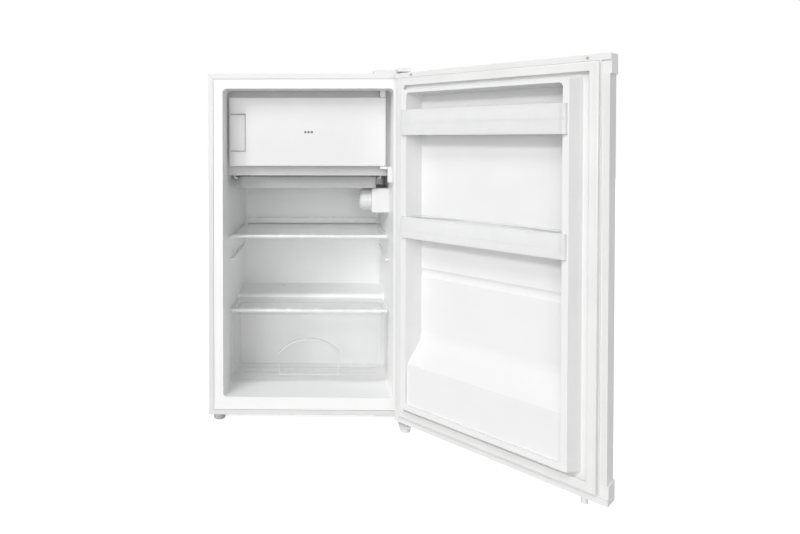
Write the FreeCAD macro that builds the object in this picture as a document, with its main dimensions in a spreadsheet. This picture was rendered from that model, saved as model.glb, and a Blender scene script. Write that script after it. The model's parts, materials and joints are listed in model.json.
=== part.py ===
"""A small single-door refrigerator with a freezer compartment, standing with its door open.

Row frame: millimetres, +X right, +Y towards the back, +Z up. The origin is on the floor under the
middle of the cabinet. Door pieces are drawn in the door's own frame, shut, with the hinge axis at
x = y = 0, and are then turned about that axis to the rest angle.
"""

import FreeCAD, Part
import Sketcher
import os
import re

SIZES = {
    # cabinet box
    "cab_width": 480, "cab_depth": 380, "cab_top": 838, "cab_base": 14, "steel": 0.8,
    "wall": 34.5, "lip": 12, "seam": 0.8, "rear_lip": 10, "case_bend": 3,
    # food compartment
    "open_low": 57, "open_high": 803, "cavity_depth": 342, "draft": 5.5, "floor_rise": 4,
    "liner": 1.6, "foam_front": 6, "cavity_round": 10, "hump_depth": 212, "hump_top": 254, "hump_round": 9,
    "ledge_reach": 11, "ledge_tall": 7, "ledge_start": 96, "ledge_end": 330, "spare_ledge": 375,
    # machine compartment
    "foam_floor": 32, "bay_top": 204, "base_thick": 1.2, "base_flange": 13, "bay_gap": 0.3,
    "pump_x": 110, "pump_back": 313, "pump_radius": 61, "pump_low": 31.5, "pump_high": 165,
    "pump_shoulder": 52, "pump_dome": 30, "pump_round": 11, "pump_seam": 64, "pump_seam_z": 98,
    "pump_seam_tall": 4, "mount_wide": 150, "mount_deep": 106, "mount_thick": 2.5,
    "stud_x": 65, "stud_y": 41, "stud_radius": 3, "stud_head": 7, "stud_head_tall": 3.5,
    "grommet_radius": 11, "grommet_bore": 4, "grommet_waist": 1.6,
    "relay_x": 8, "relay_wide": 50, "relay_deep": 52, "relay_low": 55, "relay_high": 122,
    "pan_wide": 116, "pan_deep": 108, "pan_tall": 18, "pan_wall": 1.8,
    "drain_x": 84, "drain_back": 316, "drain_radius": 7, "drain_bore": 5.2, "drain_end": 190,
    "drier_x": 40, "drier_back": 338, "drier_radius": 9.5, "drier_low": 84, "drier_high": 160,
    "drier_neck": 3, "drier_shoulder": 10,
    "gland_x": 150, "gland_z": 40, "gland_radius": 9, "gland_bore": 3.4, "gland_neck": 6,
    # condenser on the back
    "coil_gap": 12, "coil_tube": 2.5, "coil_half": 170, "coil_low": 250, "coil_pitch": 54,
    "coil_runs": 11, "wire_radius": 0.8, "wire_pitch": 26, "wire_count": 13, "wire_over": 12,
    "riser_x": 205, "riser_bend": 14, "suction_radius": 3.5, "suction_z": 139, "capillary": 1.2,
    "clip_wide": 12, "clip_tall": 16, "clip_wall": 3,
    # freezer compartment
    "frame_front": 70, "frame_thick": 10, "frame_low": 590, "frame_high": 806, "frame_side": 22,
    "frame_sill": 30, "frame_head": 32, "evap_half": 186, "evap_low": 604, "evap_high": 788,
    "evap_back": 330, "evap_wall": 1.5, "evap_round": 16, "hanger": 14, "hanger_x": 120,
    "flap_left": 198, "flap_right": 192, "flap_low": 614, "flap_high": 785, "flap_front": 53,
    "flap_split": 60, "flap_back": 66, "flap_round": 2.5, "flap_inset": 4,
    "flap_curl": 26, "flap_curl_deep": 4,
    "flap_pin_x": 184, "flap_pin_y": 56.6, "flap_pin": 2.6, "flap_pin_bore": 2.68, "flap_pin_deep": 9,
    "grip_wide": 41, "grip_low": 650, "grip_high": 745, "grip_deep": 5, "pip_radius": 2.2,
    "pip_pitch": 8, "pip_z": 699, "pip_tall": 0.6,
    # drip tray under the freezer
    "tray_left": 180, "tray_right": 172, "tray_front": 92, "tray_back": 322, "tray_low": 557,
    "tray_high": 586.3, "tray_wall": 2, "tray_rim": 6.5, "tray_rim_thick": 2, "rail_gap": 0.8,
    "rail_wall": 2, "rail_lip": 6, "free": 0.3,
    # thermostat
    "thermo_left": 160, "thermo_front": 105, "thermo_back": 250, "thermo_low": 493,
    "thermo_high": 555, "thermo_wall": 2, "thermo_round": 7, "dial_y": 142, "dial_radius": 28,
    "dial_thick": 29, "dial_hub": 3, "dial_hub_bore": 3.05, "dial_step": 9, "dial_ribs": 18,
    "dial_rib": 1.1, "control_wide": 26, "control_deep": 40, "control_tall": 32, "shaft_out": 7,
    # shelves and drawer
    "shelf_half": 197.5, "shelf_front": 88, "shelf_back": 330, "shelf_z": 432, "glass": 4,
    "trim_front": 80, "trim_deep": 12, "trim_under": 1.5, "trim_tall": 7.5, "rear_trim_half": 190,
    "rear_trim_tall": 20, "cover_back": 206, "cover_z": 242, "cover_round": 12,
    "crisper_half": 195, "crisper_front": 90, "crisper_back": 207, "crisper_low": 63,
    "crisper_high": 233.5, "crisper_wall": 2.2, "crisper_round": 8, "scoop_half": 76,
    "scoop_low": 77, "scoop_side": 131, "scoop_crest": 165, "scoop_deep": 20,
    # hinges and feet
    "hinge_inset": 13, "hinge_out": 28, "door_angle": 136, "hinge_plate": 2.5, "arm_reach": 42,
    "plate_half": 39, "plate_back": 42, "arm_half": 13, "pin": 4, "pin_bore": 4.08,
    "pin_deep": 20, "bush_radius": 8, "bush_deep": 22, "cover_tall": 8, "cover_wall": 2,
    "screw": 2.4, "screw_bore": 2.5, "screw_head": 4.6, "screw_head_tall": 2.4,
    "foot_radius": 12, "foot_ahead": 48, "foot_x": 229, "left_foot_radius": 14,
    "left_foot_x": 217, "left_foot_in": 15, "foot_stem": 4, "foot_stem_bore": 4.3,
    "foot_stem_tall": 12, "foot_flutes": 12, "foot_flute": 1.3, "foot_round": 2,
    "rear_foot_x": 214, "rear_foot_in": 26, "plug_radius": 6, "plug_tall": 1.5,
    # door
    "door_near": 13, "door_far": 467, "door_face": 21, "door_low": 17, "door_high": 835,
    "cap_tall": 36, "cap_proud": 2.2, "cap_wall": 2.4, "edge_back": 12, "edge_lip": 14,
    "edge_bead": 7, "edge_bead_tall": 3, "skin_round": 6, "flange_back": 16, "flange_far": 453,
    "flange_near": 1, "flange_low": 29, "flange_high": 823, "dike_top": 50,
    "dike_far": 421, "dike_near": 22, "dike_low": 62, "dike_high": 796, "dike_lean_far": 12,
    "dike_lean_near": 7, "dike_lean_z": 8, "pocket_floor": 6, "pocket_far": 397,
    "pocket_near": 43, "pocket_low": 165, "pocket_rise": 62, "pocket_sweep": 55,
    "pocket_high": 785, "pocket_lean": 12,
    "pocket_lean_z": 5, "pocket_round": 8, "panel_low": 82, "panel_high": 176, "panel_sink": 6,
    "band_low": 368, "band_high": 388, "band_sink": 3,
    "boss_radius": 11, "boss_deep": 25,
    "seal_far": 452, "seal_near": 2, "seal_low": 36, "seal_high": 821.5, "seal_wide": 17.5,
    "seal_top": 27.6, "seal_slot_low": 19, "seal_slot_high": 21.5, "seal_slot": 5,
    "peg_u": 424, "peg_v": 6, "peg_radius": 6.5, "peg_low": 4, "cap_screw_near": 32,
    "cap_screw_far": 428, "cap_screw_radius": 2.6, "cap_screw_tall": 1.2, "cap_screw_z": 829,
    # door bins
    "bin_far": 383, "bin_near": 57, "bin_flare": 11.5, "bin_back": 8, "bin_face_far": 406,
    "bin_face_near": 32, "bin_face_back": 50.8, "bin_face": 58, "bin_wall": 2, "bin_floor": 2.5,
    "bin_round": 6, "top_bin_low": 690, "top_bin_high": 747, "mid_bin_low": 461,
    "mid_bin_high": 508, "bin_line": 31, "bin_line_tall": 2, "bin_line_deep": 0.8,
}

doc = FreeCAD.newDocument("mini_fridge")
sheet = doc.addObject("Spreadsheet::Sheet", "Sizes")
for row, (alias, size) in enumerate(SIZES.items(), start=1):
    sheet.set(f"A{row}", alias)
    sheet.set(f"B{row}", str(size))
    sheet.setAlias(f"B{row}", alias)
doc.recompute()

pieces = []

HALF = "cab_width / 2"
FRONT = "(0 - cab_depth / 2)"
REAR = "(cab_depth / 2)"
OPEN = "(cab_width / 2 - wall)"
BAY = "(0 - cab_depth / 2 + hump_depth + liner + foam_floor)"
HINGE_X = "(cab_width / 2 - hinge_inset)"
HINGE_Y = "(0 - cab_depth / 2 - hinge_out)"
AXES = {"x": FreeCAD.Vector(1, 0, 0), "y": FreeCAD.Vector(0, 1, 0), "z": FreeCAD.Vector(0, 0, 1)}
TURNS = {
    "x": FreeCAD.Rotation(AXES["y"], 90),
    "-x": FreeCAD.Rotation(AXES["y"], -90),
    "y": FreeCAD.Rotation(AXES["x"], -90),
    "z": FreeCAD.Rotation(AXES["z"], 0),
}


# ---------------------------------------------------------------- helpers

def bound(text):
    """The expression with each alias pointed at the sheet."""
    return re.sub(r"[a-z_]+", lambda word: f"Sizes.{word[0]}" if word[0] in SIZES else word[0], str(text))


def number(text):
    """The present value of an expression."""
    return float(sheet.evalExpression(bound(text)))


def depth(alias):
    """The Y of something that far behind the cabinet's front plane."""
    return f"{FRONT} + {alias}"


def both(half):
    """A span on both sides of the middle."""
    return f"0 - ({half})", f"{half}"


def put(item, x="0", y="0", z="0", turn="z"):
    """Hold an object at a place given by expressions, with +Z turned towards an axis."""
    item.Placement = FreeCAD.Placement(FreeCAD.Vector(0, 0, 0), TURNS[turn])
    for axis, text in zip("xyz", (x, y, z)):
        item.setExpression(f"Placement.Base.{axis}", bound(text))
    return item


def block(x, y, z):
    """A box between two expressions on each axis."""
    box = put(doc.addObject("Part::Box", "Block"), x[0], y[0], z[0])
    for side, (low, high) in zip(("Length", "Width", "Height"), (x, y, z)):
        box.setExpression(side, bound(f"({high}) - ({low})"))
    return box


def taper(y, near_x, near_z, far_x, far_z):
    """A box whose section at the first Y differs from the one at the second."""
    wedge = doc.addObject("Part::Wedge", "Taper")
    limits = {
        "Ymin": y[0], "Ymax": y[1], "Xmin": near_x[0], "Xmax": near_x[1],
        "Zmin": near_z[0], "Zmax": near_z[1], "X2min": far_x[0], "X2max": far_x[1],
        "Z2min": far_z[0], "Z2max": far_z[1],
    }
    for side, text in limits.items():
        wedge.setExpression(side, bound(text))
    return wedge


def rod(x, y, z, radius, length, turn="z"):
    """A cylinder that starts at a point and runs along an axis."""
    cylinder = put(doc.addObject("Part::Cylinder", "Rod"), x, y, z, turn)
    cylinder.setExpression("Radius", bound(radius))
    cylinder.setExpression("Height", bound(length))
    return cylinder


def join(*items):
    """One solid from several that touch."""
    if len(items) == 1:
        return items[0]
    fusion = doc.addObject("Part::MultiFuse", "Join")
    fusion.Shapes = list(items)
    fusion.Refine = True
    return fusion


def cut(base, *tools):
    """The base less every tool."""
    result = doc.addObject("Part::Cut", "Cut")
    result.Base = base
    result.Tool = tools[0] if len(tools) == 1 else join(*tools)
    result.Refine = True
    return result


def common(first, second):
    """What two solids share."""
    result = doc.addObject("Part::Common", "Common")
    result.Base = first
    result.Tool = second
    return result


def group(*items):
    """Separate solids kept as one named piece."""
    compound = doc.addObject("Part::Compound", "Group")
    compound.Links = list(items)
    return compound


def soften(base, radius, wanted):
    """Round the edges that the test picks, given each edge's middle and direction."""
    doc.recompute()
    fillet = doc.addObject("Part::Fillet", "Fillet")
    fillet.Base = base
    size = number(radius)
    edges = []
    for index, edge in enumerate(base.Shape.Edges, start=1):
        along = edge.tangentAt(edge.FirstParameter)
        if wanted(edge.CenterOfMass, along):
            edges.append((index, size, size))
    fillet.Edges = edges
    return fillet


def runs(along, axis):
    """Whether a direction lies nearly along an axis."""
    return abs(along.dot(AXES[axis])) > 0.98


def named(label, item):
    """Make an object one of the refrigerator's pieces."""
    item.Label = label
    pieces.append(item)
    return item


def on_door(label, item):
    """Name a piece drawn in the door's own frame and turn it with the door."""
    item.Placement = FreeCAD.Placement(FreeCAD.Vector(0, 0, 0), FreeCAD.Rotation(AXES["z"], 1))
    item.setExpression("Placement.Base.x", bound(HINGE_X))
    item.setExpression("Placement.Base.y", bound(HINGE_Y))
    item.setExpression("Placement.Rotation.Angle", bound("door_angle"))
    return named(label, item)


def sketch_on(body, role):
    """An empty sketch on one of the body's own origin planes."""
    sketch = body.newObject("Sketcher::SketchObject", "Sketch")
    plane = next(item for item in body.Origin.OriginFeatures if item.Role == role)
    sketch.AttachmentSupport = [(plane, "")]
    sketch.MapMode = "FlatFace"
    return sketch


def hold(sketch, kind, places, text):
    """Add a dimension that follows an expression."""
    index = sketch.addConstraint(Sketcher.Constraint(kind, *places, number(text)))
    sketch.setExpression(f"Constraints[{index}]", bound(text))


def polygon(body, role, corners):
    """A closed outline whose corners are each held by two expressions."""
    sketch = sketch_on(body, role)
    spots = [FreeCAD.Vector(number(x), number(y), 0) for x, y in corners]
    count = len(spots)
    for index in range(count):
        sketch.addGeometry(Part.LineSegment(spots[index], spots[(index + 1) % count]), False)
    for index in range(count):
        sketch.addConstraint(Sketcher.Constraint("Coincident", index, 2, (index + 1) % count, 1))
    for index, (x, y) in enumerate(corners):
        hold(sketch, "DistanceX", (-1, 1, index, 1), x)
        hold(sketch, "DistanceY", (-1, 1, index, 1), y)
    return sketch


def circles(body, role, centres, radius):
    """Equal circles with their centres held by expressions."""
    sketch = sketch_on(body, role)
    for index, (x, y) in enumerate(centres):
        centre = FreeCAD.Vector(number(x), number(y), 0)
        sketch.addGeometry(Part.Circle(centre, AXES["z"], number(radius)), False)
        hold(sketch, "DistanceX", (-1, 1, index, 3), x)
        hold(sketch, "DistanceY", (-1, 1, index, 3), y)
        hold(sketch, "Radius", (index,), radius)
    return sketch


def pad(body, sketch, length, start="0"):
    """Raise a sketch along its normal from a height."""
    feature = body.newObject("PartDesign::Pad", "Pad")
    feature.Profile = sketch
    sketch.setExpression("AttachmentOffset.Base.z", bound(start))
    feature.setExpression("Length", bound(length))
    return feature


def drill(body, centres, radius):
    """Holes right through a plate that is raised from the XY plane."""
    sketch = circles(body, "XY_Plane", centres, radius)
    feature = body.newObject("PartDesign::Pocket", "Holes")
    feature.Profile = sketch
    feature.Type = "ThroughAll"
    feature.Reversed = True
    return feature


def plate(corners, thickness, holes=(), bore="0"):
    """A flat plate with an outline on the XY plane, and holes through it."""
    body = doc.addObject("PartDesign::Body", "Plate")
    pad(body, polygon(body, "XY_Plane", corners), thickness)
    if holes:
        drill(body, holes, bore)
    return body


def turned(profile):
    """A body turned about its own Z axis from a half profile of (radius, height) corners."""
    body = doc.addObject("PartDesign::Body", "Turned")
    sketch = polygon(body, "XZ_Plane", profile)
    feature = body.newObject("PartDesign::Revolution", "Revolution")
    feature.Profile = sketch
    feature.ReferenceAxis = (sketch, ["V_Axis"])
    feature.Angle = 360
    return body


def ring_cut(body, radius, groove, length, count):
    """Equal grooves round the rim of a turned body."""
    sketch = circles(body, "XY_Plane", [(radius, "0")], groove)
    pocket = body.newObject("PartDesign::Pocket", "Groove")
    pocket.Profile = sketch
    pocket.setExpression("Length", bound(length))
    pocket.Reversed = True
    pattern = body.newObject("PartDesign::PolarPattern", "Grooves")
    pattern.Originals = [pocket]
    pattern.Axis = (sketch, ["N_Axis"])
    pattern.Angle = 360
    pattern.setExpression("Occurrences", bound(count))
    body.Tip = pattern
    return body


def pipe(points, bend, radius):
    """A round tube along straight runs joined by tangent arcs."""
    spots = [FreeCAD.Vector(*[number(value) for value in point]) for point in points]
    turn = number(bend)
    edges = []
    start = spots[0]
    for before, corner, after in zip(spots, spots[1:], spots[2:]):
        inward = (before - corner).normalize()
        outward = (after - corner).normalize()
        first = corner + inward * turn
        last = corner + outward * turn
        centre = corner + (inward + outward) * turn
        middle = centre + (corner - centre).normalize() * turn
        edges.append(Part.LineSegment(start, first).toShape())
        edges.append(Part.Arc(first, middle, last).toShape())
        start = last
    edges.append(Part.LineSegment(start, spots[-1]).toShape())
    path = Part.Wire(edges)
    section = Part.Wire(Part.Circle(spots[0], spots[1] - spots[0], number(radius)).toShape())
    tube = doc.addObject("Part::Feature", "Pipe")
    tube.Shape = path.makePipeShell([section], True, False)
    return tube


# ---------------------------------------------------------------- food compartment

def cavity(grow):
    """The space inside the liner, or that space grown by the liner's thickness."""
    half_far = f"{OPEN} - draft + {grow}"
    box = taper(
        (FRONT, f"{FRONT} + cavity_depth + {grow}"),
        both(f"{OPEN} + {grow}"),
        (f"open_low - {grow}", f"open_high + {grow}"),
        both(half_far),
        (f"open_low + floor_rise - {grow}", f"open_high - draft + {grow}"),
    )
    front = number(FRONT)
    rounded = soften(
        box, f"cavity_round + {grow}", lambda middle, along: middle.y > front + 1
    )
    hump = block(
        both(HALF),
        (f"{FRONT} + hump_depth + {grow}", REAR),
        ("0", f"hump_top - {grow}"),
    )
    crest = number(f"hump_top - {grow}")
    nose = number(f"{FRONT} + hump_depth + {grow}")
    hump = soften(
        hump,
        "hump_round",
        lambda middle, along: abs(middle.z - crest) < 0.1 and abs(middle.y - nose) < 0.1,
    )
    return cut(rounded, hump)


room = cavity("0")
room_outside = cavity("liner")


def ledge(side, z, end="ledge_end"):
    """A rail moulded in a side wall, under a shelf's edge."""
    reach = f"{OPEN} - ledge_reach"
    x = (reach, HALF) if side > 0 else (f"0 - {HALF}", f"0 - ({reach})")
    rail = block(x, (depth("ledge_start"), depth(end)), (f"{z} - ledge_tall", f"{z}"))
    nose = number(depth("ledge_start")) + 0.1
    low = number(f"{z} - ledge_tall") + 0.1
    rail = soften(rail, "ledge_tall - free", lambda middle, along: middle.y < nose and middle.z < low)
    return common(rail, room)


def make_liner():
    """Thin plastic tub with a front flange, shelf ledges and a hump over the compressor."""
    flange = block(
        both(f"{HALF} - lip - seam"),
        (FRONT, f"{FRONT} + liner"),
        ("cab_base + lip + seam", "cab_top - lip - seam"),
    )
    tub = cut(join(flange, room_outside), room)
    ledges = []
    for side in (-1, 1):
        ledges.append(ledge(side, "shelf_z - free"))
        ledges.append(ledge(side, "spare_ledge"))
        ledges.append(ledge(side, "cover_z - free", "cover_back"))
    drain = rod("0 - drain_x", depth("drain_back"), "hump_top - draft", "drain_bore", "draft * 2")
    return named("inner_liner", cut(join(tub, *ledges), drain))


# ---------------------------------------------------------------- cabinet shell

def make_case():
    """Steel wrap with folded front and rear lips and an open bottom."""
    outside = block(both(HALF), (FRONT, REAR), ("cab_base", "cab_top"))
    top = number("cab_top")
    outside = soften(
        outside, "case_bend", lambda middle, along: runs(along, "y") and middle.z > top - 1
    )
    inside = block(
        both(f"{HALF} - steel"),
        (f"{FRONT} + steel", f"{REAR} - steel"),
        ("0", "cab_top - steel"),
    )
    window = block(both(f"{HALF} - lip"), (f"{FRONT} - lip", "0"), ("0", "cab_top - lip"))
    back = block(both(f"{HALF} - rear_lip"), ("0", f"{REAR} + lip"), ("0", "cab_top - rear_lip"))
    holes = [top_hole(x, y) for x, y in top_screws()]
    return named("outer_case", cut(outside, inside, window, back, *holes))


def top_screws():
    """Where the top hinge is screwed down."""
    x = f"({HALF} - plate_half)"
    return [
        (f"{x} - plate_half / 2", depth("plate_back / 3")),
        (f"{x} + plate_half / 2", depth("plate_back / 3")),
        (x, depth("plate_back * 3 / 4")),
    ]


def top_hole(x, y):
    """A screw hole through the top of the case."""
    return rod(x, y, "cab_top - plate_half / 2", "screw_bore", "plate_half")


def low_hole(x, y):
    """A screw hole through the bottom sheet."""
    return rod(x, y, "0", "screw_bore", "cab_base + steel")


def low_screws():
    """Where the lower hinge is screwed up into the cabinet."""
    return top_screws()


def stem_hole():
    """Room for the left foot's stem."""
    return rod("0 - left_foot_x", depth("left_foot_in"), "0",
               "foot_stem_bore", "cab_base + foot_stem_tall + 1")


def make_bottom():
    """Bottom sheet of the cabinet with a front lip."""
    sheet_metal = block(
        both(f"{HALF} - steel"), (f"{FRONT} + steel", BAY), ("cab_base", "cab_base + steel")
    )
    lip = block(
        both(f"{HALF} - lip"), (FRONT, f"{FRONT} + steel"), ("cab_base", "cab_base + lip")
    )
    holes = [low_hole(x, y) for x, y in low_screws()]
    return named("bottom_panel", cut(join(sheet_metal, lip), stem_hole(), *holes))


def make_bay_panel():
    """Folded sheet that walls and roofs the machine compartment."""
    outside = block(both(f"{HALF} - steel"), (BAY, f"{REAR} - steel"), ("cab_base + steel", "bay_top"))
    inside = block(
        both(HALF), (f"{BAY} + steel", f"{REAR} + lip"), ("0", "bay_top - steel")
    )
    drain = rod("0 - drain_x", depth("drain_back"), "bay_top - lip", "drain_radius", "lip * 2")
    return named("compressor_bay_panel", cut(outside, inside, drain))


def make_foam():
    """Insulation between the case, the liner and the machine compartment."""
    fill = block(
        both(f"{HALF} - steel"),
        (f"{FRONT} + foam_front", f"{REAR} - steel"),
        ("cab_base + steel", "cab_top - steel"),
    )
    top = number("cab_top - steel")
    fill = soften(
        fill, "case_bend", lambda middle, along: runs(along, "y") and middle.z > top - 0.1
    )
    bay = block(both(HALF), (BAY, REAR), ("0", "bay_top"))
    drain = rod("0 - drain_x", depth("drain_back"), "bay_top - lip", "drain_radius", "cab_depth / 4")
    screws = [top_hole(x, y) for x, y in top_screws()]
    return named("cabinet_foam", cut(fill, room_outside, bay, drain, stem_hole(), *screws))


def make_rear_panel():
    """Flat sheet that closes the back above the machine compartment."""
    panel = block(
        both(f"{HALF} - seam * 2"),
        (REAR, f"{REAR} + steel"),
        ("bay_top", "cab_top - seam * 2"),
    )
    spots = []
    for x in (f"{HALF} - rear_lip / 2 - seam", f"0 - ({HALF} - rear_lip / 2 - seam)"):
        for z in ("bay_top + cap_tall", "(bay_top + cab_top) / 2", "cab_top - cap_tall"):
            spots.append((x, z))
    holes = [rod(x, f"{REAR} - steel", z, "screw_bore", "lip", "y") for x, z in spots]
    named("rear_panel", cut(panel, *holes))
    screws = []
    for x, z in spots:
        shank = rod(x, REAR, z, "screw", "steel", "y")
        head = rod(x, f"{REAR} + steel", z, "screw_head", "screw_head_tall", "y")
        screws.append(join(shank, head))
    return named("rear_panel_screws", group(*screws))


# ---------------------------------------------------------------- machine compartment

def pump_studs():
    """The four rubber-mounted corners of the compressor's plate."""
    spots = []
    for x in ("pump_x - stud_x", "pump_x + stud_x"):
        for y in ("stud_y", "0 - stud_y"):
            spots.append((x, f"{depth('pump_back')} + {y}"))
    return spots


def make_base():
    """Steel pan that carries the compressor, with a rear flange for the cord gland."""
    floor = block(
        both(f"{HALF} - steel - bay_gap"),
        (f"{BAY} + steel + bay_gap", f"{REAR} - steel - bay_gap"),
        ("cab_base", "cab_base + base_thick"),
    )
    tongue = block(
        both(f"{HALF} - rear_lip - bay_gap"),
        (f"{REAR} - rear_lip", REAR),
        ("cab_base", "cab_base + base_thick"),
    )
    flange = block(
        both(f"{HALF} - rear_lip - bay_gap"),
        (f"{REAR} - base_thick", REAR),
        ("cab_base", "cab_base + base_flange"),
    )
    tab = block(
        ("0 - gland_x - base_flange", "base_flange - gland_x"),
        (f"{REAR} - base_thick", REAR),
        ("cab_base", "gland_z + base_flange"),
    )
    holes = [rod(x, y, "0", "stud_radius", "gland_z") for x, y in pump_studs()]
    hole = rod("0 - gland_x", f"{REAR} - lip", "gland_z", "gland_neck", "lip * 2", "y")
    return named("compressor_base", cut(join(floor, tongue, flange, tab), hole, *holes))


def make_compressor():
    """Sealed compressor shell: a drum with domed ends and a welded seam."""
    side = "pump_radius"
    body = turned([
        ("0", "pump_low"),
        ("pump_dome", "pump_low"),
        ("pump_shoulder", "pump_low + pump_round / 2"),
        (side, "pump_low + pump_round * 2"),
        (side, "pump_seam_z"),
        ("pump_seam", "pump_seam_z"),
        ("pump_seam", "pump_seam_z + pump_seam_tall"),
        (side, "pump_seam_z + pump_seam_tall"),
        (side, "pump_high - pump_round * 2"),
        ("pump_shoulder", "pump_high - pump_round / 2"),
        ("pump_dome", "pump_high"),
        ("0", "pump_high"),
    ])
    return named("compressor", put(body, "pump_x", depth("pump_back")))


def make_compressor_mounts():
    """Mount plate, grommets and bolts under the compressor."""
    middle = depth("pump_back")
    sheet_metal = block(
        ("pump_x - mount_wide / 2", "pump_x + mount_wide / 2"),
        (f"{middle} - mount_deep / 2", f"{middle} + mount_deep / 2"),
        ("pump_low - mount_thick", "pump_low"),
    )
    holes = [rod(x, y, "0", "stud_radius", "pump_high") for x, y in pump_studs()]
    named("compressor_mount_plate", cut(sheet_metal, *holes))
    grommets = []
    bolts = []
    tall = "(pump_low - mount_thick - cab_base - base_thick)"
    for x, y in pump_studs():
        foot = "cab_base + base_thick"
        grommet = turned([
            ("grommet_bore", "0"),
            ("grommet_radius", "0"),
            ("grommet_radius", f"{tall} * 2 / 5"),
            ("grommet_radius - grommet_waist", f"{tall} / 2"),
            ("grommet_radius", f"{tall} * 3 / 5"),
            ("grommet_radius", tall),
            ("grommet_bore", tall),
        ])
        grommets.append(put(grommet, x, y, foot))
        shank = rod(x, y, "cab_base", "stud_radius", "pump_low - cab_base")
        head = rod(x, y, "pump_low", "stud_head", "stud_head_tall")
        bolts.append(join(shank, head))
    named("compressor_grommets", group(*grommets))
    return named("compressor_bolts", group(*bolts))


def make_relay():
    """Plastic box over the compressor's terminals and relay."""
    middle = depth("pump_back")
    box = block(
        ("relay_x", "relay_x + relay_wide"),
        (f"{middle} - relay_deep / 2", f"{middle} + relay_deep / 2"),
        ("relay_low", "relay_high"),
    )
    drum = rod("pump_x", middle, "0", "pump_seam + free", "cab_top")
    return named("relay_cover", cut(box, drum))


def make_water_pan():
    """Pan on the warm compressor that dries up the defrost water."""
    middle = depth("pump_back")
    outside = block(
        ("pump_x - pan_wide / 2", "pump_x + pan_wide / 2"),
        (f"{middle} - pan_deep / 2", f"{middle} + pan_deep / 2"),
        ("pump_high", "pump_high + pan_tall"),
    )
    inside = block(
        ("pump_x - pan_wide / 2 + pan_wall", "pump_x + pan_wide / 2 - pan_wall"),
        (f"{middle} - pan_deep / 2 + pan_wall", f"{middle} + pan_deep / 2 - pan_wall"),
        ("pump_high + pan_wall", "bay_top"),
    )
    return named("water_pan", cut(outside, inside))


def make_drain():
    """Tube that leads defrost water from the hump down into the pan."""
    tube = turned([
        ("drain_bore", "drain_end"),
        ("drain_radius", "drain_end"),
        ("drain_radius", "hump_top - liner"),
        ("drain_bore", "hump_top - liner"),
    ])
    return named("drain_tube", put(tube, "0 - drain_x", depth("drain_back")))


def make_drier():
    """Copper filter drier with a necked end above and below."""
    drier = turned([
        ("0", "drier_low - drier_shoulder * 2"),
        ("drier_neck", "drier_low - drier_shoulder * 2"),
        ("drier_neck", "drier_low - drier_shoulder"),
        ("drier_radius", "drier_low"),
        ("drier_radius", "drier_high"),
        ("drier_neck", "drier_high + drier_shoulder"),
        ("0", "drier_high + drier_shoulder"),
    ])
    return named("filter_drier", put(drier, "0 - drier_x", depth("drier_back")))


def make_condenser():
    """Serpentine tube, its wires, its clips and the tubes that join it to the compressor."""
    plane = f"{REAR} + coil_gap"
    tubes = []
    runs_wanted = int(number("coil_runs"))
    for run in range(runs_wanted):
        z = f"coil_low + coil_pitch * {run}"
        tubes.append(rod("0 - coil_half", plane, z, "coil_tube", "coil_half * 2", "x"))
        if run:
            bend = doc.addObject("Part::Torus", "Bend")
            side = "0 - coil_half" if run % 2 else "coil_half"
            put(bend, side, plane, f"coil_low + coil_pitch * ({run} - 0.5)", "y")
            turn = 90 if run % 2 else -90
            bend.Placement.Rotation = TURNS["y"].multiply(FreeCAD.Rotation(AXES["z"], turn))
            bend.Angle3 = 180
            bend.setExpression("Radius1", bound("coil_pitch / 2"))
            bend.setExpression("Radius2", bound("coil_tube"))
            tubes.append(bend)
    named("condenser_tube", join(*tubes))
    wires = []
    low = "coil_low - wire_over"
    tall = "coil_pitch * (coil_runs - 1) + wire_over * 2"
    stand_off = "coil_tube + wire_radius"
    count = int(number("wire_count"))
    for wire in range(count):
        x = f"wire_pitch * ({wire} - (wire_count - 1) / 2)"
        wires.append(rod(x, f"{plane} + {stand_off}", low, "wire_radius", tall))
    return named("condenser_wires", group(*wires))


def make_clips():
    """Plastic clips that hold the condenser off the back."""
    clips = []
    for x in ("0 - coil_half + clip_wide", "coil_half - clip_wide"):
        for run in (1, 9):
            z = f"coil_low + coil_pitch * {run}"
            body = block(
                (f"{x} - clip_wide / 2", f"{x} + clip_wide / 2"),
                (f"{REAR} + steel", f"{REAR} + coil_gap + clip_wall / 2"),
                (f"{z} - clip_tall / 2", f"{z} + clip_tall / 2"),
            )
            slot = rod(f"{x} - clip_wide", f"{REAR} + coil_gap", z, "coil_tube", "clip_wide * 2", "x")
            clips.append(cut(body, slot))
    return named("condenser_clips", group(*clips))


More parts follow.
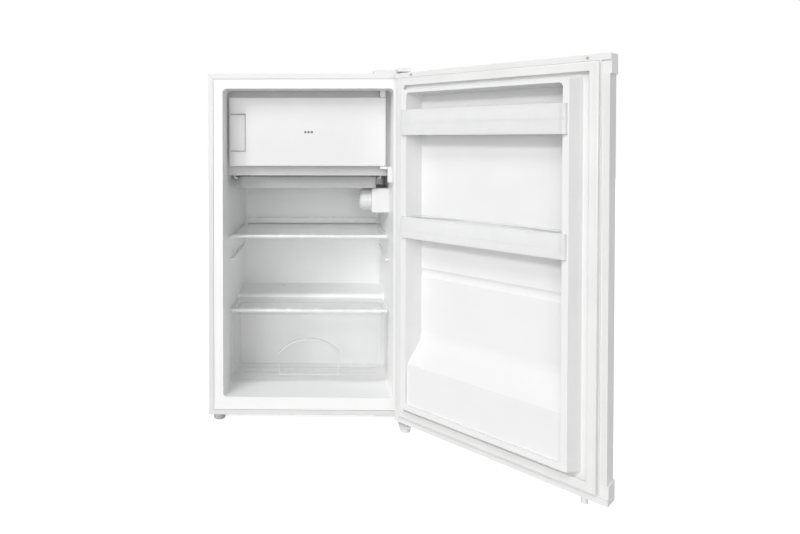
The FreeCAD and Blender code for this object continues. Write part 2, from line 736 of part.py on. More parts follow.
def make_tubes():
    """Discharge, liquid, suction and capillary tubes."""
    plane = f"{REAR} + coil_gap"
    pump_y = depth("pump_back")
    last = "coil_low + coil_pitch * (coil_runs - 1)"
    waist = "pump_seam_z - pump_round"
    drier_y = depth("drier_back")
    drier_end = "drier_low - drier_shoulder * 2"
    foot = "(drier_low - drier_shoulder * 2 - riser_bend * 2)"
    discharge = pipe([
        ("pump_x + pump_radius", pump_y, waist),
        ("riser_x", pump_y, waist),
        ("riser_x", plane, waist),
        ("riser_x", plane, "coil_low"),
        ("coil_half", plane, "coil_low"),
    ], "riser_bend", "coil_tube")
    liquid = pipe([
        ("0 - coil_half", plane, last),
        ("0 - riser_x", plane, last),
        ("0 - riser_x", plane, foot),
        ("0 - riser_x", drier_y, foot),
        ("0 - drier_x", drier_y, foot),
        ("0 - drier_x", drier_y, drier_end),
    ], "riser_bend", "coil_tube")
    roof = "bay_top - steel"
    suction = pipe([
        ("pump_x - pump_radius + drain_radius", pump_y, "suction_z"),
        ("relay_x + drain_radius", pump_y, "suction_z"),
        ("relay_x + drain_radius", pump_y, roof),
    ], "riser_bend", "suction_radius")
    capillary = rod("0 - drier_x", drier_y, "drier_high + drier_shoulder", "capillary",
                    "bay_top - steel - drier_high - drier_shoulder")
    drum = rod("pump_x", pump_y, "0", "pump_radius", "cab_top")
    return named("refrigerant_tubes", group(discharge, liquid, cut(suction, drum), capillary))


def make_gland():
    """Grommet in the rear flange where the supply cord enters."""
    gland = turned([
        ("gland_bore", "0 - gland_neck"),
        ("gland_neck", "0 - gland_neck"),
        ("gland_neck", "0"),
        ("gland_radius", "0"),
        ("gland_radius", "base_thick * 2"),
        ("gland_neck", "gland_neck"),
        ("gland_bore", "gland_neck"),
    ])
    return named("cord_gland", put(gland, "0 - gland_x", REAR, "gland_z", "y"))


# ---------------------------------------------------------------- freezer compartment

def make_freezer():
    """Evaporator box, its frame, its hangers and the flap's two pivots."""
    ring = block(
        both(HALF), (depth("frame_front"), depth("frame_front + frame_thick")), ("frame_low", "frame_high")
    )
    mouth = block(
        both(f"{OPEN} - frame_side"), (FRONT, REAR), ("frame_low + frame_sill", "frame_high - frame_head")
    )
    named("freezer_frame", cut(common(ring, room), mouth))

    start = depth("frame_front + frame_thick")
    outside = block(both("evap_half"), (start, depth("evap_back")), ("evap_low", "evap_high"))
    inside = block(
        both("evap_half - evap_wall"),
        (FRONT, depth("evap_back - evap_wall")),
        ("evap_low + evap_wall", "evap_high - evap_wall"),
    )
    outside = soften(outside, "evap_round", lambda middle, along: runs(along, "y"))
    inside = soften(inside, "evap_round - evap_wall", lambda middle, along: runs(along, "y"))
    named("evaporator_box", cut(outside, inside))

    hangers = []
    for x in ("hanger_x", "0 - hanger_x"):
        for y in ("frame_front + hanger * 3", "evap_back - hanger * 2"):
            lug = block(
                (f"{x} - hanger / 2", f"{x} + hanger / 2"),
                (depth(f"{y} - hanger / 2"), depth(f"{y} + hanger / 2")),
                ("evap_high", "cab_top"),
            )
            hangers.append(common(lug, room))
    named("evaporator_hangers", group(*hangers))

    pin_y = depth("flap_pin_y")
    tab = block(
        ("flap_pin_x - tray_rim", HALF),
        (depth("flap_front - trim_under"), depth("flap_back")),
        ("flap_low - free - base_flange / 2", "flap_low - free * 2"),
    )
    wall_plate = block(
        ("flap_pin_x + lip", HALF),
        (depth("flap_front - base_flange"), depth("flap_back + trim_under")),
        ("flap_low - plate_half", "flap_low - free * 2"),
    )
    bracket = common(join(tab, wall_plate), room)
    low_pin = rod("flap_pin_x", pin_y, "flap_low - free * 2", "flap_pin", "flap_pin_deep")
    named("freezer_hinge_bracket", join(bracket, low_pin))
    lug = block(
        ("flap_pin_x - tray_rim", "flap_pin_x + tray_rim"),
        (depth("flap_front - trim_under"), depth("flap_back")),
        ("flap_high + free * 2", "cab_top"),
    )
    top_pin = rod("flap_pin_x", pin_y, "flap_high - flap_pin_deep", "flap_pin", "flap_pin_deep + free * 2")
    return named("freezer_top_pivot", join(common(lug, room), top_pin))


def make_flap():
    """Freezer flap: an outer moulding with a finger recess, and a back plate."""
    panel = block(
        ("0 - flap_left", "flap_right"),
        (depth("flap_front"), depth("flap_split")),
        ("flap_low", "flap_high"),
    )
    split = number(depth("flap_split"))
    panel = soften(panel, "flap_round", lambda middle, along: middle.y < split - 1)
    bend = "((flap_curl ^ 2 + flap_curl_deep ^ 2) / (2 * flap_curl_deep))"
    edge = block(
        ("0 - flap_left - lip", "flap_curl - flap_left"),
        (depth("flap_front - lip"), depth("flap_split")),
        ("flap_low - lip", "flap_high + lip"),
    )
    curve = rod("flap_curl - flap_left", f"{depth('flap_front')} + {bend}", "flap_low - lip * 2", bend,
                "flap_high - flap_low + lip * 4")
    panel = cut(panel, cut(edge, curve))
    recess = block(
        ("0 - flap_left - lip", "grip_wide - flap_left"),
        (depth("flap_front - lip"), depth("flap_front + grip_deep")),
        ("grip_low", "grip_high"),
    )
    pin_y = depth("flap_pin_y")
    bores = [
        rod("flap_pin_x", pin_y, "flap_low - lip", "flap_pin_bore", "lip + flap_pin_deep"),
        rod("flap_pin_x", pin_y, "flap_high - flap_pin_deep - free", "flap_pin_bore", "lip + flap_pin_deep"),
    ]
    pips = [
        rod(f"pip_pitch * {index}", depth("flap_front - pip_tall"), "pip_z",
            "pip_radius", "pip_tall * 2", "y")
        for index in (-1, 0, 1)
    ]
    named("freezer_door_front", join(cut(panel, recess, *bores), *pips))
    back = block(
        ("flap_inset - flap_left", "flap_right - flap_inset"),
        (depth("flap_split"), depth("flap_back")),
        ("flap_low + flap_inset", "flap_high - flap_inset"),
    )
    sunk = block(
        ("flap_inset * 5 - flap_left", "flap_right - flap_inset * 5"),
        (depth("flap_back - evap_wall"), REAR),
        ("flap_low + flap_inset * 5", "flap_high - flap_inset * 5"),
    )
    return named("freezer_door_back", cut(back, sunk))


def make_tray():
    """Drip tray that slides on two rails under the evaporator."""
    outside = block(
        ("0 - tray_left", "tray_right"), (depth("tray_front"), depth("tray_back")), ("tray_low", "tray_high")
    )
    outside = soften(outside, "cavity_round", lambda middle, along: runs(along, "z"))
    rim = block(
        ("0 - tray_left - tray_rim", "tray_right + tray_rim"),
        (depth("tray_front + cavity_round"), depth("tray_back - cavity_round")),
        ("tray_high - tray_rim_thick", "tray_high"),
    )
    inside = block(
        ("tray_wall - tray_left", "tray_right - tray_wall"),
        (depth("tray_front + tray_wall"), depth("tray_back - tray_wall")),
        ("tray_low + tray_wall", "cab_top"),
    )
    inside = soften(inside, "cavity_round - tray_wall", lambda middle, along: runs(along, "z"))
    named("drip_tray", cut(join(outside, rim), inside))

    rails = []
    low = "(tray_high - tray_rim_thick - free - rail_wall)"
    for sign, edge in (("0 -", "tray_left + tray_rim"), ("0 +", "tray_right + tray_rim")):
        inner = f"{sign} ({edge} + rail_gap)"
        outer = f"{sign} ({edge} + rail_gap + rail_wall)"
        lip = f"{sign} ({edge} + rail_gap - rail_lip)"
        order = (outer, inner, lip) if sign == "0 -" else (inner, outer, lip)
        spans = (depth("frame_front + frame_thick"), depth("tray_back"))
        web = block((order[0], order[1]), spans, (low, "evap_low + evap_round"))
        foot = (outer, lip) if sign == "0 -" else (lip, outer)
        shelf = block(foot, spans, (low, f"{low} + rail_wall"))
        rails.append(web)
        rails.append(shelf)
    box = block(both("evap_half"), (FRONT, REAR), ("evap_low", "evap_high"))
    box = soften(box, "evap_round", lambda middle, along: runs(along, "y"))
    left = cut(join(rails[0], rails[1]), box)
    right = cut(join(rails[2], rails[3]), box)
    return named("drip_tray_rails", group(left, right))


# ---------------------------------------------------------------- thermostat

def make_thermostat():
    """Housing on the right wall, the control inside it and its dial."""
    outside = block(
        ("thermo_left", HALF),
        (depth("thermo_front"), depth("thermo_back")),
        ("thermo_low", "thermo_high"),
    )
    left = number("thermo_left")
    outside = soften(outside, "thermo_round", lambda middle, along: middle.x < left + 1)
    inside = block(
        ("thermo_left + thermo_wall", "cab_width"),
        (depth("thermo_front + thermo_wall"), depth("thermo_back - thermo_wall")),
        ("thermo_low + thermo_wall", "thermo_high - thermo_wall"),
    )
    inside = soften(
        inside, "thermo_round - thermo_wall", lambda middle, along: middle.x < left + 3
    )
    middle_z = "(thermo_low + thermo_high) / 2"
    dial_y = depth("dial_y")
    hole = rod("thermo_left - lip", dial_y, middle_z, "dial_hub + free * 3", "lip * 2", "x")
    named("thermostat_housing", cut(common(outside, room), inside, hole))

    box = block(
        ("thermo_left + thermo_wall", "thermo_left + thermo_wall + control_wide"),
        (f"{dial_y} - control_deep / 2", f"{dial_y} + control_deep / 2"),
        (f"{middle_z} - control_tall / 2", f"{middle_z} + control_tall / 2"),
    )
    shaft = rod("thermo_left - shaft_out", dial_y, middle_z, "dial_hub", "shaft_out + thermo_wall * 2", "x")
    named("thermostat_control", join(box, shaft))

    dial = turned([
        ("dial_hub_bore", "0"),
        ("dial_radius", "0"),
        ("dial_radius", "dial_thick - dial_step"),
        ("dial_radius - dial_step / 2", "dial_thick - dial_step / 4"),
        ("dial_radius - dial_step", "dial_thick"),
        ("0", "dial_thick"),
        ("0", "shaft_out"),
        ("dial_hub_bore", "shaft_out"),
    ])
    ring_cut(dial, "dial_radius", "dial_rib", "dial_thick - dial_step", "dial_ribs")
    return named("thermostat_knob", put(dial, "thermo_left - free", dial_y, middle_z, "-x"))


# ---------------------------------------------------------------- shelves and drawer

def pane(half, back, z, round_back):
    """A glass shelf with its back corners rounded."""
    glass = block(both(half), (depth("shelf_front"), depth(back)), (z, f"{z} + glass"))
    limit = number(depth(back)) - 0.1
    return soften(
        glass, round_back, lambda middle, along: runs(along, "z") and middle.y > limit
    )


def front_trim(z, glass):
    """Front edge moulding that grips the glass."""
    bar = block(
        both("shelf_half + free"),
        (depth("trim_front"), depth("trim_front + trim_deep")),
        (f"{z} - trim_under", f"{z} - trim_under + trim_tall"),
    )
    back = number(depth("trim_front")) + 0.1
    bar = soften(bar, "trim_under * 1.5", lambda middle, along: runs(along, "x") and middle.y < back)
    return cut(bar, glass)


def make_shelves():
    """Upper shelf and the glass cover over the crisper."""
    glass = named("upper_shelf_glass", pane("shelf_half", "shelf_back", "shelf_z", "hump_round"))
    named("upper_shelf_front_trim", front_trim("shelf_z", glass))
    bar = block(
        both("rear_trim_half"),
        (depth("shelf_back - trim_deep / 2"), depth("shelf_back + trim_under * 2")),
        ("shelf_z - trim_under", "shelf_z - trim_under + rear_trim_tall"),
    )
    named("upper_shelf_rear_trim", cut(bar, glass))
    cover = named("crisper_cover_glass", pane("shelf_half", "cover_back", "cover_z", "cover_round"))
    return named("crisper_cover_trim", front_trim("cover_z", cover))


def arch(grow, y):
    """The drawer scoop's outline, an arch on a straight-sided base, as a solid along Y."""
    half = f"(scoop_half + {grow})"
    rise = "(scoop_crest - scoop_side)"
    radius = f"((scoop_half ^ 2 + {rise} ^ 2) / (2 * {rise}))"
    bar = rod("0", y[0], f"scoop_crest - {radius}", f"{radius} + {grow}", f"({y[1]}) - ({y[0]})", "y")
    return common(bar, block(both(half), y, (f"scoop_low - {grow}", "crisper_high")))


def make_crisper():
    """Clear salad drawer with an arched finger scoop in its front."""
    outside = block(
        both("crisper_half"), (depth("crisper_front"), depth("crisper_back")), ("crisper_low", "crisper_high")
    )
    inside = block(
        both("crisper_half - crisper_wall"),
        (depth("crisper_front + crisper_wall"), depth("crisper_back - crisper_wall")),
        ("crisper_low + crisper_wall", "cab_top"),
    )
    outside = soften(outside, "crisper_round", lambda middle, along: runs(along, "z"))
    inside = soften(inside, "crisper_round - crisper_wall", lambda middle, along: runs(along, "z"))
    back = "crisper_front + scoop_deep"
    bulge = arch("crisper_wall", (depth("crisper_front"), depth(f"{back} + crisper_wall")))
    scoop = arch("0", (depth("crisper_front - lip"), depth(back)))
    return named("crisper_drawer", cut(join(cut(outside, inside), bulge), scoop))


# ---------------------------------------------------------------- hinges and feet

def hinge_outline():
    """Outline of a hinge plate, with its arm reaching forward to the door's axis."""
    left = f"{HALF} - plate_half * 2"
    right = f"{HALF} - seam"
    inner = f"{HINGE_X} - arm_half"
    return [
        (left, depth("case_bend")),
        (inner, depth("case_bend")),
        (inner, depth("0 - arm_reach")),
        (right, depth("0 - arm_reach")),
        (right, depth("plate_back")),
        (left, depth("plate_back")),
    ]


def make_top_hinge():
    """Plate on the cabinet's top with a pin down into the door, its cover and screws."""
    body = plate(hinge_outline(), "hinge_plate", top_screws(), "screw_bore")
    put(body, z="cab_top")
    pin = rod(HINGE_X, HINGE_Y, "door_high - pin_deep", "pin", "cab_top - door_high + pin_deep")
    named("top_hinge_bracket", join(body, pin))

    tall = ("cab_top", "cab_top + cover_tall")
    inner_x = (f"{HALF} - plate_half * 2 - cover_wall", f"{HALF} - seam + free")
    inner_y = (depth("0 - arm_reach - free"), depth("plate_back + free"))
    outside = block(
        (f"{inner_x[0]} - cover_wall", HALF),
        (f"{inner_y[0]} - cover_wall", f"{inner_y[1]} + cover_wall"),
        tall,
    )
    notch = block(
        ("0", f"{HINGE_X} - arm_half - cover_wall * 2"), (depth("0 - cab_depth"), FRONT), ("0", "cab_top * 2")
    )
    inside = block(inner_x, inner_y, ("0", "cab_top + cover_tall - cover_wall"))
    inside_notch = block(
        ("0", f"{HINGE_X} - arm_half - cover_wall"),
        (depth("0 - cab_depth"), depth("cover_wall")),
        ("0", "cab_top * 2"),
    )
    shell = cut(outside, notch)
    high = number("cab_top + cover_tall") - 0.1
    shell = soften(shell, "cover_wall", lambda middle, along: middle.z > high)
    named("top_hinge_cover", cut(shell, cut(inside, inside_notch)))

    screws = []
    for x, y in top_screws():
        shank = rod(x, y, "cab_top - steel", "screw", "steel + hinge_plate")
        head = rod(x, y, "cab_top + hinge_plate", "screw_head", "screw_head_tall")
        screws.append(join(shank, head))
    return named("top_hinge_screws", group(*screws))


def make_lower_hinge():
    """Plate under the cabinet with a pin up into the door and a foot ahead of it."""
    corners = hinge_outline()
    far = depth("0 - foot_ahead - foot_radius * 1.1")
    corners[2] = (corners[2][0], far)
    corners[3] = (f"{HALF} + seam", far)
    corners[4] = (f"{HALF} + seam", depth("case_bend"))
    corners.insert(5, (f"{HALF} - seam", depth("case_bend * 2")))
    corners.insert(6, (f"{HALF} - seam", depth("plate_back")))
    body = plate(corners, "hinge_plate", low_screws(), "screw_bore")
    drill(body, [("foot_x", depth("0 - foot_ahead"))], "foot_stem_bore")
    put(body, z="cab_base - hinge_plate")
    pin = rod(HINGE_X, HINGE_Y, "cab_base", "pin", "door_low - cab_base + pin_deep")
    named("lower_hinge_bracket", join(body, pin))
    screws = []
    for x, y in low_screws():
        head = rod(x, y, "cab_base - hinge_plate - screw_head_tall", "screw_head", "screw_head_tall")
        shank = rod(x, y, "cab_base - hinge_plate", "screw", "hinge_plate + steel")
        screws.append(join(shank, head))
    return named("lower_hinge_screws", group(*screws))


def foot(label, x, y, radius, tall, stem):
    """A levelling foot: a fluted disc on a threaded stem."""
    body = turned([
        ("0", "0"),
        (f"{radius} - foot_round", "0"),
        (radius, "foot_round"),
        (radius, f"{tall}"),
        ("foot_stem", f"{tall}"),
        ("foot_stem", f"{stem}"),
        ("0", f"{stem}"),
    ])
    ring_cut(body, radius, "foot_flute", tall, "foot_flutes")
    return named(label, put(body, x, y))


def make_feet():
    """Two levelling feet in front, two fixed pads behind."""
    foot("front_foot_left", "0 - left_foot_x", depth("left_foot_in"), "left_foot_radius",
         "cab_base - free", "cab_base + foot_stem_tall")
    foot("front_foot_right", "foot_x", depth("0 - foot_ahead"), "foot_radius",
         "cab_base - hinge_plate - free", "cab_base")
    pads = []
    for x in ("rear_foot_x", "0 - rear_foot_x"):
        pads.append(rod(x, f"{REAR} - rear_foot_in", "0", "left_foot_radius", "cab_base"))
    return named("rear_feet", group(*pads))


def make_plugs():
    """Plugs over the spare hinge holes at the top left."""
    plugs = []
    for x, y in (top_screws()[0], top_screws()[1]):
        plugs.append(rod(f"0 - ({x})", y, "cab_top", "plug_radius", "plug_tall"))
    return named("hinge_hole_plugs", group(*plugs))


# ---------------------------------------------------------------- door

NEAR = "door_near"
FAR = "0 - door_far"
FACE = "0 - door_face"


def relief(grow):
    """The door liner's raised dikes and sunken panels, shrunk by the liner's thickness."""
    slab = block(
        (f"{grow} - flange_far", f"0 - flange_near - {grow}"),
        ("0", f"flange_back - {grow}"),
        (f"flange_low + {grow}", f"flange_high - {grow}"),
    )
    dike = taper(
        (f"flange_back - {grow}", f"dike_top - {grow}"),
        (f"0 - dike_far + {grow}", f"0 - dike_near - {grow}"),
        (f"dike_low + {grow}", f"dike_high - {grow}"),
        (f"dike_lean_far - dike_far + {grow}", f"0 - dike_near - dike_lean_near - {grow}"),
        (f"dike_low + dike_lean_z + {grow}", f"dike_high - dike_lean_z / 2 - {grow}"),
    )
    rounded = soften(dike, "case_bend", lambda middle, along: runs(along, "y") or abs(along.y) > 0.5)
    pocket = taper(
        (f"pocket_floor - {grow}", "dike_top"),
        (f"0 - pocket_far + pocket_lean - {grow}", f"0 - pocket_near - pocket_lean + {grow}"),
        (f"pocket_low + pocket_rise - {grow}", f"pocket_high - pocket_lean_z + {grow}"),
        (f"0 - pocket_far - {grow}", f"0 - pocket_near + {grow}"),
        (f"pocket_low - {grow}", f"pocket_high + {grow}"),
    )
    floor = number(f"pocket_floor - {grow}") + 0.1
    half_way = number("(pocket_low + pocket_high) / 2")
    pocket = soften(
        pocket,
        f"pocket_sweep + {grow}",
        lambda middle, along: runs(along, "x") and middle.y < floor and middle.z < half_way,
    )
    pocket = soften(
        pocket, "pocket_round", lambda middle, along: abs(along.y) > 0.5 and middle.z > half_way
    )
    panel = block(
        (f"0 - pocket_far - {grow}", f"0 - pocket_near + {grow}"),
        (f"dike_top - panel_sink - {grow}", "dike_top * 2"),
        (f"panel_low - {grow}", f"panel_high + {grow}"),
    )
    panel = soften(panel, "cavity_round", lambda middle, along: runs(along, "y"))
    half_band = "((band_high - band_low) / 2)"
    band_radius = f"(({half_band} ^ 2 + band_sink ^ 2) / (2 * band_sink))"
    band = rod(
        f"0 - pocket_far + pocket_lean - {grow}",
        f"pocket_floor - band_sink + {band_radius}",
        "(band_low + band_high) / 2",
        f"{band_radius} + {grow}",
        f"pocket_far - pocket_near - 2 * pocket_lean + 2 * {grow}",
        "x",
    )
    return join(slab, rounded), [pocket, panel, band]


def door_cap(label, outer, inner, step, bush):
    """End moulding of the door, a trough that closes the skin's open end."""
    body = block(
        (f"{FAR} - cap_proud", f"{NEAR} + cap_proud"), (f"{FACE} - cap_proud", "flange_back"), outer
    )
    face = number(f"{FACE} - cap_proud") + 0.1
    body = soften(body, "skin_round", lambda middle, along: runs(along, "z") and middle.y < face)
    hollow = block(
        (f"{FAR} + cap_wall", f"{NEAR} - cap_wall"), (f"{FACE} + cap_wall", "edge_back"), inner
    )
    window = block((f"{FAR} + edge_lip", f"{NEAR} - edge_lip"), ("0", "flange_back * 2"), step)
    ledge_cut = block(
        ("0 - door_far * 2", "door_far"), ("edge_back + steel", "flange_back * 2"), step
    )
    boss = rod("0", "0", bush[0], "boss_radius", "boss_deep")
    bore = rod("0", "0", bush[1], "bush_radius", "boss_deep * 2")
    return on_door(label, cut(join(cut(body, hollow, window, ledge_cut), boss), bore))


def make_door():
    """Skin, end mouldings, insulation, liner and seal of the main door."""
    cap_low = "(door_low + cap_tall)"
    cap_high = "(door_high - cap_tall)"
    outside = block((FAR, NEAR), (FACE, "edge_back + steel"), (cap_low, cap_high))
    face = number(FACE) + 0.1
    outside = soften(outside, "skin_round", lambda middle, along: runs(along, "z") and middle.y < face)
    inside = block((f"{FAR} + steel", f"{NEAR} - steel"), (f"{FACE} + steel", "edge_back"), ("0", "cab_top"))
    inside = soften(inside, "skin_round - steel",
                    lambda middle, along: runs(along, "z") and middle.y < face + 2)
    window = block((f"{FAR} + edge_lip", f"{NEAR} - edge_lip"), ("0", "flange_back"), ("0", "cab_top"))
    beads = [
        block((FAR, f"{FAR} + edge_bead"), ("edge_back", "edge_back + edge_bead_tall"), (cap_low, cap_high)),
        block((f"{NEAR} - edge_bead", NEAR), ("edge_back", "edge_back + edge_bead_tall"),
              (cap_low, cap_high)),
    ]
    on_door("door_skin", join(cut(outside, inside, window), *beads))

    door_cap(
        "door_top_cap", (cap_high, "door_high"), ("0", "door_high - cap_wall"),
        ("0", "flange_high + free"), ("door_high - boss_deep", "door_high - bush_deep"),
    )
    door_cap(
        "door_bottom_cap", ("door_low", cap_low), ("door_low + cap_wall", "cab_top"),
        ("flange_low - free", "cab_top"), ("door_low", "door_low + bush_deep - boss_deep * 2"),
    )
    bushes = []
    for low in ("door_high - bush_deep", "door_low"):
        bushes.append(cut(
            rod("0", "0", low, "bush_radius", "bush_deep"),
            rod("0", "0", f"{low} - bush_deep", "pin_bore", "bush_deep * 3"),
        ))
    on_door("door_hinge_bushes", group(*bushes))

    shrunk, hollows = relief("liner")
    core = block(
        (f"{FAR} + steel", f"{NEAR} - steel"), (f"{FACE} + steel", "edge_back"), (cap_low, cap_high)
    )
    core = soften(core, "skin_round - steel", lambda middle, along: runs(along, "z") and middle.y < face + 2)
    ends = block(
        (f"{FAR} + cap_wall", f"{NEAR} - cap_wall"), (f"{FACE} + cap_wall", "edge_back"),
        ("door_low + cap_wall", "door_high - cap_wall"),
    )
    bosses = [
        rod("0", "0", "door_high - boss_deep", "boss_radius", "boss_deep"),
        rod("0", "0", "door_low", "boss_radius", "boss_deep"),
    ]
    foam = cut(join(core, ends, shrunk), *hollows, *bosses)
    full, sunken = relief("0")
    # the liner is what is left of the room side once the insulation and the metal edge are taken away
    foam_tool = cut(join(core, ends, shrunk), *hollows)
    liner = cut(full, *sunken, foam_tool)
    on_door("door_foam", foam)
    on_door("door_liner", liner)

    ring = block(("0 - seal_far", "0 - seal_near"), ("flange_back", "seal_top"), ("seal_low", "seal_high"))
    hole = block(
        ("seal_wide - seal_far", "0 - seal_near - seal_wide"), ("0", "dike_top"),
        ("seal_low + seal_wide + seal_slot / 2", "seal_high - seal_wide - seal_slot / 2"),
    )
    slot_outer = block(
        ("0 - door_far", NEAR), ("seal_slot_low", "seal_slot_high"), ("door_low", "door_high")
    )
    slot_inner = block(
        ("seal_slot - seal_far", "0 - seal_near - seal_slot"), ("0", "dike_top"),
        ("seal_low + seal_slot", "seal_high - seal_slot"),
    )
    top = number("seal_top") - 0.1
    ring = soften(ring, "liner * 2", lambda middle, along: middle.y > top)
    return on_door("door_gasket", cut(ring, hole, cut(slot_outer, slot_inner)))


def make_door_hardware():
    """Small pieces on the door's ends."""
    peg = rod("0 - peg_u", "peg_v", "peg_low", "peg_radius", "door_low - peg_low")
    on_door("door_peg", group(peg))
    screws = []
    for place in ("cap_screw_near", "cap_screw_far"):
        screws.append(rod(f"0 - {place}", "flange_back", "cap_screw_z",
                          "cap_screw_radius", "cap_screw_tall", "y"))
    return on_door("door_cap_screws", group(*screws))


def bin_shape(low, high, grow):
    """The outside of a door bin, or its inside when shrunk by the wall."""
    floor = f"{low} + {grow} * bin_floor / bin_wall"
    top = high if grow == "0" else "cab_top * 2"
    return taper(
        (f"bin_back + {grow}", "bin_face_back"),
        (f"0 - bin_far + {grow}", f"0 - bin_near - {grow}"),
        (floor, top),
        (f"0 - bin_far - bin_flare + {grow}", f"0 - bin_near + bin_flare - {grow}"),
        (floor, top),
    )


def make_bin(label, low, high):
    """A clear bin that drops between the door's dikes, with a face wider than the gap."""
    face = block(
        ("0 - bin_face_far", "0 - bin_face_near"), ("bin_face_back", "bin_face"), (low, high)
    )
    front = number("bin_face") - 0.1
    face = soften(face, "bin_round", lambda middle, along: runs(along, "z") and middle.y > front)
    hollow = block(
        ("bin_wall - bin_far - bin_flare", "bin_flare - bin_near - bin_wall"),
        ("bin_face_back", "bin_face - bin_wall"),
        (f"{low} + bin_floor", "cab_top * 2"),
    )
    line = block(
        ("0 - bin_face_far", "0 - bin_face_near"),
        ("bin_face - bin_line_deep", "dike_top * 2"),
        (f"{high} - bin_line", f"{high} - bin_line + bin_line_tall"),
    )
    tub = join(bin_shape(low, high, "0"), face)
    return on_door(label, cut(tub, bin_shape(low, high, "bin_wall"), hollow, line))


# ---------------------------------------------------------------- build

make_liner()
make_case()
make_bottom()
make_bay_panel()
make_foam()
make_rear_panel()
make_base()
make_compressor()
make_compressor_mounts()
make_relay()
make_water_pan()
make_drain()
make_drier()
make_condenser()
make_clips()
make_tubes()
make_gland()
make_freezer()
make_flap()
make_tray()
make_thermostat()
make_shelves()
make_crisper()
make_top_hinge()
make_lower_hinge()
make_feet()
make_plugs()
make_door()
make_door_hardware()
make_bin("door_top_bin", "top_bin_low", "top_bin_high")
make_bin("door_middle_bin", "mid_bin_low", "mid_bin_high")
doc.recompute()

failed = [item.Label for item in doc.Objects if {"Invalid", "Error"} & set(item.State)]
if failed:
    raise RuntimeError(f"these objects failed: {failed}")
for piece in pieces:
    if piece.Shape.isNull() or not piece.Shape.isValid() or piece.Shape.Volume <= 0:
        raise RuntimeError(f"{piece.Label} has no valid solid")

os.makedirs("parts", exist_ok=True)
for piece in pieces:
    piece.Shape.exportStep(f"parts/{piece.Label}.step")
    print(f"{piece.Label:26s} {len(piece.Shape.Solids):3d} solids {piece.Shape.Volume / 1000:10.1f} cm3")
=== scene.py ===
import json
import math

import bmesh
import bpy
from mathutils import Matrix, Vector


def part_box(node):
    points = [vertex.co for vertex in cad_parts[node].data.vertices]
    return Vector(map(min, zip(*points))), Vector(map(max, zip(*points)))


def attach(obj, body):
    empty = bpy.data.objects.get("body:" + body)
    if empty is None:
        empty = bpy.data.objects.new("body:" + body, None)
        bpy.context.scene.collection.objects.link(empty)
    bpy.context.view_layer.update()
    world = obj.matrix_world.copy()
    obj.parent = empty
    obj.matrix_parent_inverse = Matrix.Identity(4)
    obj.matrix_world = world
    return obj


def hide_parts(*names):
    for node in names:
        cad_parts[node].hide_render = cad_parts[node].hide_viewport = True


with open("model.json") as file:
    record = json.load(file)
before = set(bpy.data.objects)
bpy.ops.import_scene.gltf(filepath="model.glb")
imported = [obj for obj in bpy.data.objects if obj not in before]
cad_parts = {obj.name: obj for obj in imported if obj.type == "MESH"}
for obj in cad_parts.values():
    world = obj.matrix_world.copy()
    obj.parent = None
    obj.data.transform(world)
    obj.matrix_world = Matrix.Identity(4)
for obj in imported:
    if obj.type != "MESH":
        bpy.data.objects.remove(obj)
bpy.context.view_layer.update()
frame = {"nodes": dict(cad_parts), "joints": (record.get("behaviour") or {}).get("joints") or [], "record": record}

NODES = frame["nodes"]
JOINTS = {joint["name"]: joint for joint in frame["joints"]}
MM = 0.001
SHARP_DEG = 40


# ------------------------------------------------------------------ shader graphs

class Graph:
    """A material's node tree, built by short calls."""

    def __init__(self, name):
        self.material = bpy.data.materials.new(name)
        self.material.use_nodes = True
        self.tree = self.material.node_tree
        self.tree.nodes.clear()
        self.output = self.tree.nodes.new("ShaderNodeOutputMaterial")
        self.place = self.tree.nodes.new("ShaderNodeTexCoord").outputs["Object"]

    def node(self, kind, settings=None, **inputs):
        """A node with its settings, and its inputs set to values or linked to sockets."""
        made = self.tree.nodes.new("ShaderNode" + kind)
        for key, value in (settings or {}).items():
            setattr(made, key, value)
        for key, value in inputs.items():
            self.feed(made.inputs[key.replace("_", " ")], value)
        return made

    def feed(self, socket, value):
        """Set a socket to a value, or link it."""
        if isinstance(value, bpy.types.NodeSocket):
            self.tree.links.new(value, socket)
        else:
            socket.default_value = value

    def stretched(self, scale):
        """Object coordinates, scaled differently on each axis."""
        return self.node("Mapping", Vector=self.place, Scale=scale).outputs["Vector"]

    def noise(self, size, detail=2.0, vector=None):
        """Noise whose blotches are about that many metres across, from 0 to 1."""
        made = self.node("TexNoise", Vector=vector or self.place, Scale=1.0 / size, Detail=detail)
        return made.outputs["Fac"]

    def cells(self, size):
        """Distance inside cells about that many metres across."""
        return self.node("TexVoronoi", Vector=self.place, Scale=1.0 / size).outputs["Distance"]

    def remap(self, value, low, high, to_low, to_high):
        """One range carried over to another, held at its ends."""
        made = self.node("MapRange", {"clamp": True})
        names = ("Value", "From Min", "From Max", "To Min", "To Max")
        for key, item in zip(names, (value, low, high, to_low, to_high)):
            self.feed(made.inputs[key], item)
        return made.outputs["Result"]

    def math(self, operation, first, second):
        """Two numbers combined."""
        made = self.node("Math", {"operation": operation})
        self.feed(made.inputs[0], first)
        self.feed(made.inputs[1], second)
        return made.outputs["Value"]

    def blend(self, factor, first, second):
        """Two colours mixed by a factor."""
        made = self.node("Mix", {"data_type": "RGBA"})
        self.feed(made.inputs["Factor"], factor)
        self.feed(made.inputs[6], first)
        self.feed(made.inputs[7], second)
        return made.outputs[2]

    def bump(self, height, distance, strength=1.0, normal=None):
        """A surface that rises by that many metres where the height is 1."""
        made = self.node("Bump", Height=height, Distance=distance, Strength=strength)
        if normal is not None:
            self.feed(made.inputs["Normal"], normal)
        return made.outputs["Normal"]

    def finish(self, shader):
        """Send a shader to the output and hand back the material."""
        self.tree.links.new(shader, self.output.inputs["Surface"])
        return self.material


